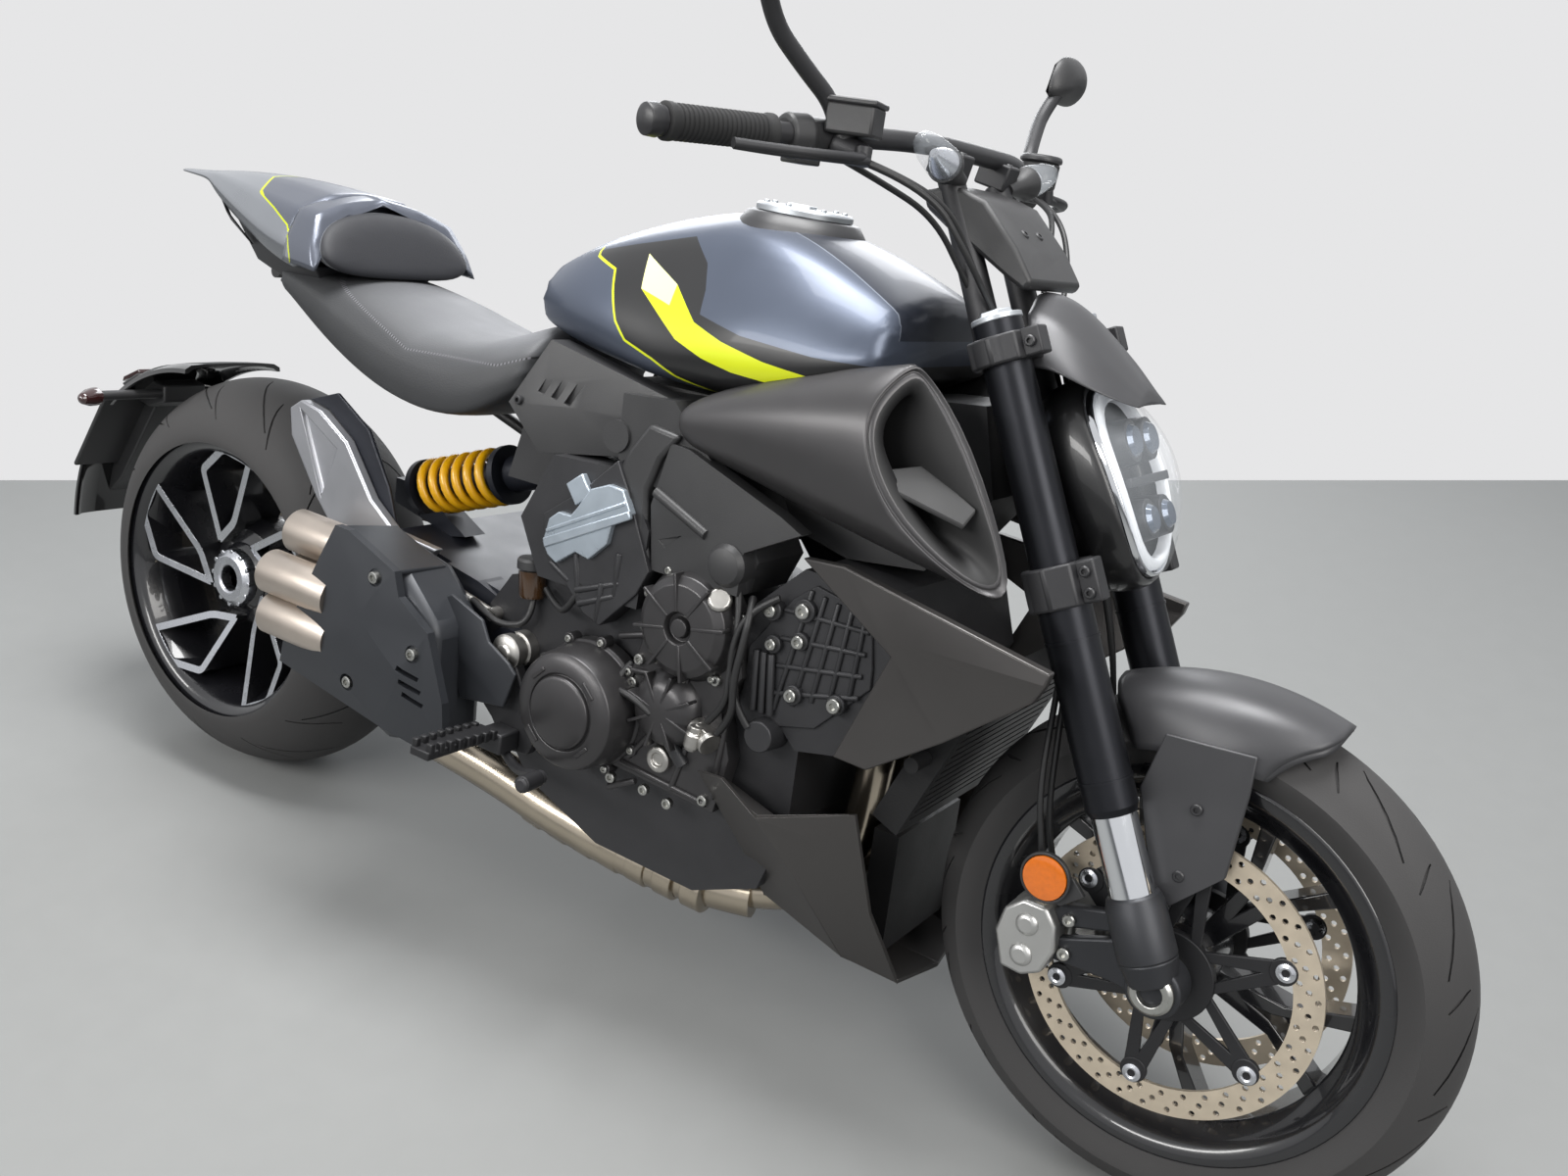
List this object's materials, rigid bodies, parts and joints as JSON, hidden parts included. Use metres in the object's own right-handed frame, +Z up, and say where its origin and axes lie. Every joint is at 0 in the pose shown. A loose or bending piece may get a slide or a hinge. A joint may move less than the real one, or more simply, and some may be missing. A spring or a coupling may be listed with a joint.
{
  "type": "power cruiser motorcycle",
  "caption": "Low, long power cruiser with a V-engine, single-sided rear arm, wide rear tyre and stacked side silencer, leaning on its side stand.",
  "frame": {"origin": "on the ground under the middle of the parked machine's bounding box", "axes": "+X forward along the machine, +Y to its left, +Z up; the machine leans 13 degrees to its left on its side stand"},
  "size_m": [2.3429, 0.9618, 1.349],
  "materials": {
    "black_cast": "satin",
    "black_satin": "satin",
    "engine_black": "matt",
    "silver_cast": "satin",
    "tank_paint": "satin",
    "shroud_paint": "satin",
    "tail_paint": "satin",
    "seat_cover": "matt",
    "pad_cover": "matt",
    "moulded_black": "matt",
    "gloss_black": "gloss",
    "spring_yellow": "gloss",
    "steel": "brushed",
    "disc_steel": "ground",
    "chain_steel": "oiled",
    "chrome": "polished",
    "tyre": "matt",
    "grip_rubber": "matt",
    "lamp": "clear",
    "radiator_core": "matt",
    "caliper": "satin",
    "wheel_black": "gloss"
  },
  "bodies": {
    "chassis": {"air_intakes": "shroud_paint", "belly_pan": "shroud_paint", "crankcase": "engine_black", "cylinder_banks": "engine_black", "drive_chain": "chain_steel", "engine_covers": "engine_black", "foot_controls": "black_satin", "fuel_tank": "tank_paint", "header_pipes": "steel", "main_frame": "black_cast", "muffler": "steel", "muffler_shield": "moulded_black", "plate_holder": "moulded_black", "radiator_shrouds": "shroud_paint", "radiators": "radiator_core", "rear_hugger": "gloss_black", "rear_subframe": "black_satin", "seat": "seat_cover", "shock_damper": "black_satin", "shock_spring": "spring_yellow", "side_covers": "moulded_black", "swingarm": "black_satin", "swingarm_guard": "silver_cast", "tail_cover": "tail_paint", "tail_pad": "pad_cover"},
    "rear_wheel": {"rear_rim": "wheel_black", "rear_tyre": "tyre", "rear_disc": "disc_steel", "rear_sprocket": "chain_steel"},
    "front_wheel": {"front_rim": "wheel_black", "front_tyre": "tyre", "front_discs": "disc_steel"},
    "steering": {"triple_clamps": "black_satin", "fork_tubes": "black_satin", "fork_lowers": "chrome", "front_axle": "steel", "handlebar": "grip_rubber", "hand_controls": "black_satin", "front_signals": "lamp", "mirrors": "moulded_black", "dashboard": "moulded_black", "headlight": "lamp", "headlight_cowl": "moulded_black", "front_fender": "shroud_paint", "front_calipers": "caliper", "brake_hoses": "grip_rubber"},
    "side_stand": {"side_stand": "black_satin"},
    "fuel_cap": {"fuel_cap": "silver_cast"}
  },
  "joints": [
    {"name": "rear_spin", "type": "hinge", "parent": "chassis", "child": "rear_wheel", "pos_m": [-0.72151, -0.15612, 0.31893], "axis": [-0.0002, 0.9744, -0.225], "continuous": true},
    {"name": "steering_turn", "type": "hinge", "parent": "chassis", "child": "steering", "pos_m": [0.61132, -0.05714, 0.74623], "axis": [-0.4375, 0.2022, 0.8762], "range_deg": [-28, 28]},
    {"name": "front_spin", "type": "hinge", "parent": "steering", "child": "front_wheel", "pos_m": [0.87146, -0.16151, 0.29387], "axis": [-0.0002, 0.9744, -0.225], "continuous": true},
    {"name": "stand_fold", "type": "hinge", "parent": "chassis", "child": "side_stand", "pos_m": [-0.00965, 0.01507, 0.18835], "axis": [0.1652, 0.9381, 0.3045], "range_deg": [0, 105]},
    {"name": "cap_open", "type": "hinge", "parent": "chassis", "child": "fuel_cap", "pos_m": [0.27422, 0.0054, 1.01748], "axis": [-0.0002, 0.9744, -0.225], "range_deg": [0, 95]}
  ]
}
